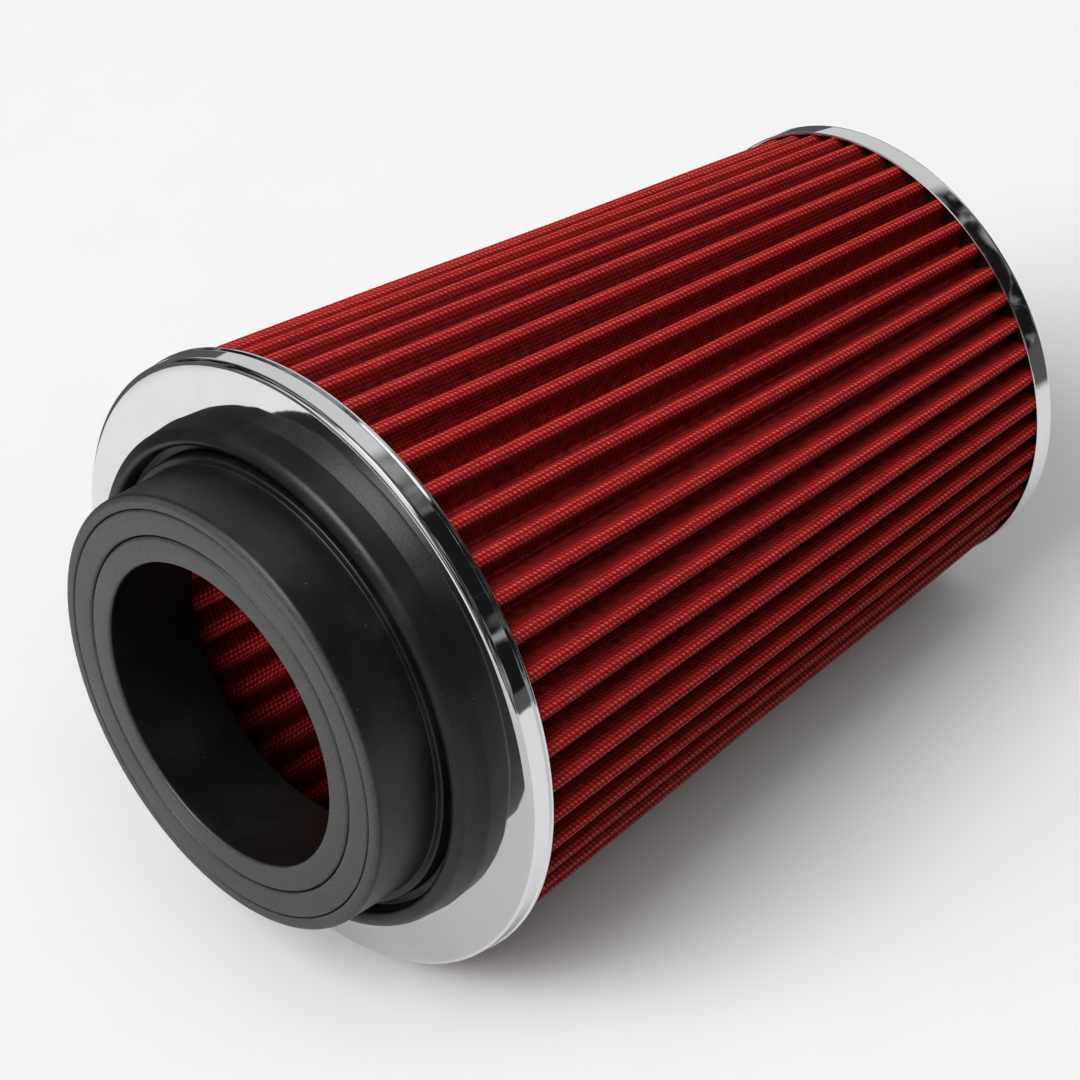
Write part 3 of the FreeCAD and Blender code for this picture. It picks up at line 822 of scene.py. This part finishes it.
    def node(kind, **inputs):
        n = nt.nodes.new(kind)
        for key_, value in inputs.items():
            if isinstance(value, bpy.types.NodeSocket):
                nt.links.new(value, n.inputs[int(key_[1:])])
            else:
                n.inputs[int(key_[1:])].default_value = value
        return n

    out = node("ShaderNodeOutputWorld")
    tc = node("ShaderNodeTexCoord")
    sep = node("ShaderNodeSeparateXYZ", i0=tc.outputs["Generated"])
    wall = node("ShaderNodeMapRange", i0=sep.outputs[0], i1=-0.04, i2=-0.14, i3=0.0, i4=1.0)
    wall.interpolation_type = "SMOOTHSTEP"
    behind = node("ShaderNodeMapRange", i0=sep.outputs[1], i1=0.15, i2=0.45, i3=0.0, i4=1.0)
    behind.interpolation_type = "SMOOTHSTEP"
    left = node("ShaderNodeMath", i0=wall.outputs[0], i1=behind.outputs[0])
    left.operation = "MULTIPLY"
    noise = node("ShaderNodeTexNoise", i0=tc.outputs["Generated"])
    noise.inputs["Scale"].default_value = 3.4
    noise.inputs["Detail"].default_value = 3.0
    noise.inputs["Distortion"].default_value = 1.2
    patches = node("ShaderNodeMapRange", i0=noise.outputs[0], i1=0.47, i2=0.66, i3=0.010, i4=0.32)
    patches.interpolation_type = "SMOOTHSTEP"
    back = node("ShaderNodeMix", i0=left.outputs[0], i2=patches.outputs[0], i3=0.72)
    side = node("ShaderNodeMapRange", i0=sep.outputs[1], i1=-0.58, i2=-0.70, i3=0.0, i4=1.0)
    tall = node("ShaderNodeMapRange", i0=sep.outputs[2], i1=0.13, i2=0.20, i3=0.0, i4=1.0)
    near = node("ShaderNodeMapRange", i0=sep.outputs[0], i1=0.05, i2=0.30, i3=1.0, i4=0.0)
    near.interpolation_type = "SMOOTHSTEP"
    front = node("ShaderNodeMath", i0=side.outputs[0], i1=tall.outputs[0])
    front.operation = "MULTIPLY"
    front = node("ShaderNodeMath", i0=front.outputs[0], i1=near.outputs[0])
    front.operation = "MULTIPLY"
    shade = node("ShaderNodeMix", i0=front.outputs[0], i2=back.outputs[0], i3=0.90)
    # the softbox as bright metal sees it
    aim = Vector((-0.02, -0.44, 0.90)).normalized()
    toward = nt.nodes.new("ShaderNodeVectorMath")
    toward.operation = "DOT_PRODUCT"
    nt.links.new(tc.outputs["Generated"], toward.inputs[0])
    toward.inputs[1].default_value = aim
    panel = node("ShaderNodeMapRange", i0=toward.outputs["Value"], i1=0.940, i2=0.958, i3=0.0, i4=1.0)
    panel.interpolation_type = "SMOOTHSTEP"
    full = node("ShaderNodeMix", i0=panel.outputs[0], i2=shade.outputs[0], i3=1.15)
    mirror = node("ShaderNodeBackground", i0=full.outputs[0])
    # less light comes in low from the right
    low_right = node("ShaderNodeMath", i0=sep.outputs[2], i1=-1.2, i2=sep.outputs[0])
    low_right.operation = "MULTIPLY_ADD"
    soft = node("ShaderNodeMapRange", i0=low_right.outputs[0], i1=0.0, i2=0.6, i3=0.31, i4=0.06)
    soft.interpolation_type = "SMOOTHSTEP"
    dim = node("ShaderNodeBackground", i0=soft.outputs[0])
    pale = node("ShaderNodeBackground", i0=(0.888, 0.888, 0.888, 1))
    path = node("ShaderNodeLightPath")
    one = node("ShaderNodeMixShader", i0=path.outputs["Is Glossy Ray"], i1=dim.outputs[0], i2=mirror.outputs[0])
    two = node("ShaderNodeMixShader", i0=path.outputs["Is Camera Ray"], i1=one.outputs[0], i2=pale.outputs[0])
    nt.links.new(two.outputs[0], out.inputs[0])


studio()

# --------------------------------------------------------------- the camera
az, el = math.radians(46.24), math.radians(36.80)
right = Vector((math.cos(az), math.sin(az), 0.0))
ahead = Vector((-math.sin(az) * math.cos(el), math.cos(az) * math.cos(el), -math.sin(el)))
up = right.cross(ahead)
cam_data = bpy.data.cameras.new("camera")
cam_data.sensor_width = 36.0
cam_data.lens = 36.0 * 3955.0 / 1080.0
cam_data.clip_start, cam_data.clip_end = 0.05, 50.0
cam = bpy.data.objects.new("camera", cam_data)
where = right * 0.0727 + up * 0.0397 - ahead * 0.8878
cam.matrix_world = Matrix.Translation(where) @ Matrix((right, up, -ahead)).transposed().to_4x4()
scene.collection.objects.link(cam)
scene.camera = cam
scene.view_settings.view_transform = "Standard"
